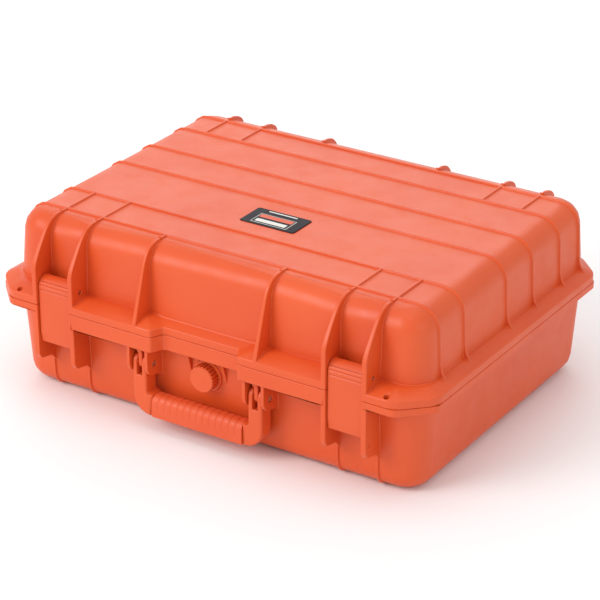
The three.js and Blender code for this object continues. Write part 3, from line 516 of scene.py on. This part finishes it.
for node, name in (("lid_shell", "lid_moulding"), ("base_shell", "base_moulding")):
    moulding = rounded_copy(node, name, SHELL_RADIUS, shell_plastic, edge_plastic)
    shade(moulding)
    place_piece(moulding, node)

# %% [markdown]
# Low on each base wing sits a small round boss, the mark of a pin in the mould. It is a short disc
# set against the wing's outer face, with its front edge rounded.

# %% Bosses on the base wings
BOSS_RADIUS, BOSS_PROUD, BOSS_SUNK = 0.0022, 0.0008, 0.0010
BOSS_PLACE_Y, BOSS_PLACE_Z = -0.2060, 0.0595
BOSS_EDGE = 0.0003
WING_FROM_LEVER, WING_WIDTH = 0.0007, 0.0057

for side, sign in (("left", -1), ("right", 1)):
    lever_low, lever_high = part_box(f"latch_lever_{side}")
    outer_face = max(abs(lever_low.x), abs(lever_high.x)) + WING_FROM_LEVER + WING_WIDTH
    boss_x = sign * (outer_face + (BOSS_PROUD - BOSS_SUNK) / 2)
    bpy.ops.mesh.primitive_cylinder_add(
        vertices=32,
        radius=BOSS_RADIUS,
        depth=BOSS_PROUD + BOSS_SUNK,
        location=(boss_x, BOSS_PLACE_Y, BOSS_PLACE_Z),
        rotation=(0, math.radians(90), 0),
    )
    boss = bpy.context.active_object
    boss.name = boss.data.name = f"wing_boss_{side}"
    bpy.ops.object.transform_apply(location=True, rotation=True, scale=True)
    boss.data.materials.append(shell_plastic)
    round_edges(boss, BOSS_EDGE, steps=3, sharper_than=50)
    shade(boss)
    place_piece(boss, None, "base")

# %% [markdown]
# ## Latches
# A latch is a curved lever over a hook plate, on two steel pins. Both are thin mouldings with
# smaller radii than the shells. The lever's head has grooves for the thumb.

# %% Levers, hooks and pins
LEVER_RADIUS, HOOK_RADIUS, PIN_EDGE = 0.0004, 0.0005, 0.0004
PINS = ("hinge_pin", "latch_pin", "latch_link_pin", "handle_pin")

for side in ("left", "right"):
    for part, radius in (("lever", LEVER_RADIUS), ("hook", HOOK_RADIUS)):
        node = f"latch_{part}_{side}"
        moulding = rounded_copy(node, f"{part}_{side}", radius, latch_plastic, edge_plastic, 2)
        shade(moulding)
        place_piece(moulding, node)
    for pin in PINS:
        node = f"{pin}_{side}"
        rod = rounded_copy(
            node, f"{pin}_rod_{side}", PIN_EDGE, pin_steel, steps=2, sharper_than=50
        )
        shade(rod)
        place_piece(rod, node)

# %% [markdown]
# ## Handle
# The handle is a frame of two arms, whose forks turn on pins, and a bar between them that the grip
# is moulded over. The arms get a wide radius, since a hand closes round them.

# %% Handle frame
ARM_RADIUS = 0.0013
arms = rounded_copy("handle_frame", "handle_arms", ARM_RADIUS, latch_plastic, edge_plastic)
shade(arms)
place_piece(arms, "handle_frame")

# %% [markdown]
# The grip is a rounded bar with fourteen soft lobes, divided by grooves that run over its top and
# down the upper part of its front, and end above a plain band. Cutting thirteen grooves would leave
# sharp steps. It is easier to extrude one rounded outline along the bar in short steps, then draw
# in the rings that lie in a groove, all at once, towards the bar's own axis. The outline comes
# first: an upright plane with large round corners on top and small ones below. Each side gets two
# more vertices, and the upper one is moved down to where the grooves will end.

# %% Grip outline
TOP_CORNER, BOTTOM_CORNER = 0.0085, 0.0015
SIDE_SHARE = 0.5  # of the height; only the two sides climb further than this
ABOVE_MIDDLE, MOVED_DOWN = 0.001, 0.0055
NEAR_END = 0.4  # of the height, from the middle; only the corners lie beyond it
grip_low, grip_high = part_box("handle_grip")
grip_centre = (grip_low + grip_high) / 2
grip_size = grip_high - grip_low

bpy.ops.mesh.primitive_plane_add(size=1, location=(grip_low.x, grip_centre.y, grip_centre.z))
grip = bpy.context.active_object
grip.name = grip.data.name = "grip_lobes"
grip.rotation_euler = (0, math.radians(90), 0)
grip.scale = (grip_size.z, grip_size.y, 1)
bpy.ops.object.transform_apply(location=True, rotation=True, scale=True)


def height(vertex):
    return vertex.co.z - grip_centre.z


pick(grip, "EDGE", lambda e: rise(grip, e) > SIDE_SHARE * grip_size.z)
bpy.ops.mesh.subdivide(number_cuts=2)
leave_edit()
pick(grip, "VERT", lambda v: ABOVE_MIDDLE < height(v) < NEAR_END * grip_size.z)
bpy.ops.transform.translate(value=(0, 0, -MOVED_DOWN))
leave_edit()
pick(grip, "VERT", lambda v: height(v) > NEAR_END * grip_size.z)
bpy.ops.mesh.bevel(offset=TOP_CORNER, segments=8, affect="VERTICES", profile=0.5)
leave_edit()
pick(grip, "VERT", lambda v: height(v) < -NEAR_END * grip_size.z)
bpy.ops.mesh.bevel(offset=BOTTOM_CORNER, segments=3, affect="VERTICES", profile=0.5)
leave_edit()
print("vertices in the grip's outline:", len(grip.data.vertices))

# %% [markdown]
# The outline is now extruded lobe by lobe. Each lobe takes six steps, short ones beside the groove
# and long ones over its back. The rings in a groove are drawn in most, and those on its shoulders a
# little, so that the lobe looks round.

# %% Lobes
LOBES = 14
RING_STEPS = (0.09, 0.13, 0.28, 0.28, 0.13, 0.09)  # shares of a lobe, from groove to groove
GROOVE_FOOT = -0.002  # from the grip's axis; below it the front is a plain band
RING_WITHIN = 0.02  # share of a lobe
GROOVE_RINGS, GROOVE_FACTOR = (0.0,), 0.915
SHOULDER_RINGS, SHOULDER_FACTOR = (0.09, 0.91), 0.975
lobe = grip_size.x / LOBES

edit_all(grip)
for _ in range(LOBES):
    for share in RING_STEPS:
        bpy.ops.mesh.extrude_region_move(TRANSFORM_OT_translate={"value": (share * lobe, 0, 0)})
leave_edit()


def in_ring(vertex, rings):
    """Whether a vertex is on one of these rings, away from both ends and above the plain band."""
    along = (vertex.co.x - grip_low.x) / lobe
    if not RING_WITHIN < along < LOBES - RING_WITHIN or height(vertex) < GROOVE_FOOT:
        return False
    return any(abs((along - ring + 0.5) % 1 - 0.5) < RING_WITHIN for ring in rings)


def draw_in(rings, factor):
    count = pick(grip, "VERT", lambda v: in_ring(v, rings))
    bpy.ops.transform.resize(value=(1, factor, factor), center_override=grip_centre)
    leave_edit()
    return count


print("vertices in the grooves:", draw_in(GROOVE_RINGS, GROOVE_FACTOR))
print("vertices on the shoulders:", draw_in(SHOULDER_RINGS, SHOULDER_FACTOR))
edit_all(grip)
bpy.ops.mesh.normals_make_consistent(inside=False)
leave_edit()
grip.data.materials.append(grip_plastic)

# %% [markdown]
# The grip is moulded over the handle's bar, so it can't be solid. A box a little larger than the
# bar, and longer than the grip, is taken out of it with a Boolean modifier. The ends are rounded
# last, when their edges are final.

# %% Room for the bar
BAR_DEPTH, BAR_HEIGHT = 0.0116, 0.0136  # the handle's bar with 0.3 mm to spare all round
PAST_THE_ENDS = 1.2
GRIP_EDGE = 0.0006

bpy.ops.mesh.primitive_cube_add(size=1, location=grip_centre)
bar_space = bpy.context.active_object
bar_space.scale = (PAST_THE_ENDS * grip_size.x, BAR_DEPTH, BAR_HEIGHT)
bpy.ops.object.transform_apply(location=True, rotation=True, scale=True)
alone(grip)
bore = grip.modifiers.new("bar_space", "BOOLEAN")
bore.operation, bore.solver, bore.object = "DIFFERENCE", "EXACT", bar_space
bpy.ops.object.modifier_apply(modifier=bore.name)
bpy.data.objects.remove(bar_space, do_unlink=True)
round_edges(grip, GRIP_EDGE, steps=2, sharper_than=60)
shade(grip, 50)
place_piece(grip, "handle_grip")

# %% [markdown]
# ## Purge valve
# The valve's cap is a flat disc on a fluted skirt, so that fingers can turn it. A cylinder with
# four faces to each flute is a good start: two of every four rim faces are drawn in, and the front
# is inset and pushed out as a disc.

# %% Front of the valve cap
FLUTES, FACES_PER_FLUTE, FACES_DRAWN_IN = 24, 4, 2
FLUTE_FACTOR = 0.93
DISC_PROUD, DISC_INSET = 0.0010, 0.0009
RIM_TILT = 0.5  # a rim face points less than this along Y
END_TILT = 0.9  # and an end face more than this
END_AREA = 1e-4  # square metres; only a whole end of the cap is larger
knob_low, knob_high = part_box("valve_knob")
knob_centre = (knob_low + knob_high) / 2
knob_radius = (knob_high.x - knob_low.x) / 2

bpy.ops.mesh.primitive_cylinder_add(
    vertices=FLUTES * FACES_PER_FLUTE,
    radius=knob_radius,
    depth=knob_high.y - knob_low.y - DISC_PROUD,
    location=(knob_centre.x, knob_centre.y + DISC_PROUD / 2, knob_centre.z),
    rotation=(math.radians(90), 0, 0),
)
cap = bpy.context.active_object
cap.name = cap.data.name = "valve_cap"
bpy.ops.object.transform_apply(location=True, rotation=True, scale=True)


def flute_face(face):
    if abs(face.normal.y) > RIM_TILT:
        return False
    turn = math.atan2(face.center.z - knob_centre.z, face.center.x - knob_centre.x) / (2 * math.pi)
    return int((turn % 1.0) * FLUTES * FACES_PER_FLUTE) % FACES_PER_FLUTE < FACES_DRAWN_IN


def end_face(face, way):
    """Whether a face is the cap's whole front, with way at -1, or its whole back, with way at 1."""
    return way * face.normal.y > END_TILT and face.area > END_AREA


print("rim faces drawn in:", pick(cap, "FACE", flute_face))
bpy.ops.mesh.extrude_region_move(TRANSFORM_OT_translate={"value": (0, 0, 0)})
bpy.ops.transform.resize(value=(FLUTE_FACTOR, 1, FLUTE_FACTOR), center_override=knob_centre)
leave_edit()
pick(cap, "FACE", lambda f: end_face(f, -1))
bpy.ops.mesh.inset(thickness=DISC_INSET)
bpy.ops.mesh.extrude_region_move(TRANSFORM_OT_translate={"value": (0, -DISC_PROUD, 0)})
leave_edit()

# %% [markdown]
# A solid cap would pass through the stem that it turns on. So its back is inset three times and
# pushed in or out each time: a groove for the rubber ring, a rib inside the groove, then the socket
# that the stem fits in. Groove and socket are each a little deeper than the part that fills them.

# %% Back of the valve cap
CLEARANCE, RING_INNER = 0.0003, 0.0083
CAP_WELD, CAP_EDGE = 0.00001, 0.0003

stem_low, stem_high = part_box("valve_body")
ring_low, ring_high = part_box("valve_o_ring")
stem_radius = (stem_high.x - stem_low.x) / 2 + CLEARANCE
ring_outer = (ring_high.x - ring_low.x) / 2 + CLEARANCE
groove_depth = ring_high.y - ring_low.y + CLEARANCE
socket_depth = knob_high.y - stem_low.y + CLEARANCE

pick(cap, "FACE", lambda f: end_face(f, 1))
for thickness, inward in (
    (knob_radius - ring_outer, groove_depth),
    (ring_outer - RING_INNER, -groove_depth),
    (RING_INNER - stem_radius, socket_depth),
):
    bpy.ops.mesh.inset(thickness=thickness)
    bpy.ops.mesh.extrude_region_move(TRANSFORM_OT_translate={"value": (0, -inward, 0)})
leave_edit()
edit_all(cap)
bpy.ops.mesh.remove_doubles(threshold=CAP_WELD)
bpy.ops.mesh.normals_make_consistent(inside=False)
leave_edit()
cap.data.materials.append(latch_plastic)
cap.data.materials.append(edge_plastic)
round_edges(cap, CAP_EDGE, steps=2, sharper_than=50, material=1)
shade(cap)
place_piece(cap, "valve_knob")

# %% [markdown]
# Four more parts of the valve come from the frame: the stem, a hexagonal nut, the rubber ring and
# the filter disc. All of them are small, so their radii are too.

# %% Valve stem, nut, ring and filter
for node, name, radius, finish, slot in (
    ("valve_body", "valve_stem", 0.0004, black_plastic, "black_plastic"),
    ("valve_nut", "valve_hex_nut", 0.0006, black_plastic, "black_plastic"),
    ("valve_o_ring", "valve_ring", 0.0007, seal_rubber, "seal_rubber"),
    ("valve_membrane", "valve_filter", 0.0002, valve_cloth, "membrane"),
):
    part = rounded_copy(node, name, radius, finish, steps=2, sharper_than=50)
    shade(part)
    place_piece(part, node)

# %% [markdown]
# ## Seal and name plate
# A band of rubber fills the groove under the lid's rim. The name plate is a black moulding with a
# pale outlined box, an orange band and pale fields, all left blank. Each is a thin slab with its own
# finish, a little higher than the one it lies on.

# %% Seal
SEAL_RADIUS = 0.0010
seal = rounded_copy("rim_seal", "seal_band", SEAL_RADIUS, seal_rubber, sharper_than=50)
shade(seal)
place_piece(seal, "rim_seal")

# %% Name plate
PLATE_EDGE = 0.0004
plate = rounded_copy(
    "label_plate", "name_plate", PLATE_EDGE, label_plastic, steps=2, sharper_than=50
)
shade(plate)
place_piece(plate, "label_plate")

# %% Fields on the name plate
FIELD_CORNER = 0.0009
BOX_OFF = -0.0045
FIELDS = (  # name, place in Y from the plate's centre, length, depth, thickness, finish
    ("plate_frame", BOX_OFF, 0.0450, 0.0230, 0.00015, label_print),
    ("plate_inside", BOX_OFF, 0.0436, 0.0216, 0.00022, label_plastic),
    ("plate_orange_band", BOX_OFF + 0.0062, 0.0410, 0.0075, 0.00028, label_band),
    ("plate_pale_field", BOX_OFF - 0.0052, 0.0380, 0.0070, 0.00028, label_print),
    ("plate_pale_line", 0.0150, 0.0360, 0.0020, 0.00025, label_print),
)
plate_low, plate_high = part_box("label_plate")
plate_centre = (plate_low + plate_high) / 2


def plate_field(name, off, length, depth, thickness, finish):
    bpy.ops.mesh.primitive_cube_add(
        size=1, location=(plate_centre.x, plate_centre.y + off, plate_high.z)
    )
    field = bpy.context.active_object
    field.name = field.data.name = name
    field.scale = (length, depth, 2 * thickness)
    bpy.ops.object.transform_apply(location=True, rotation=True, scale=True)
    pick(field, "EDGE", lambda e: rise(field, e) > thickness)
    bpy.ops.mesh.bevel(offset=FIELD_CORNER, segments=4, affect="EDGES")
    leave_edit()
    field.data.materials.append(finish)
    shade(field)
    place_piece(field, None, "lid")


for row in FIELDS:
    plate_field(*row)
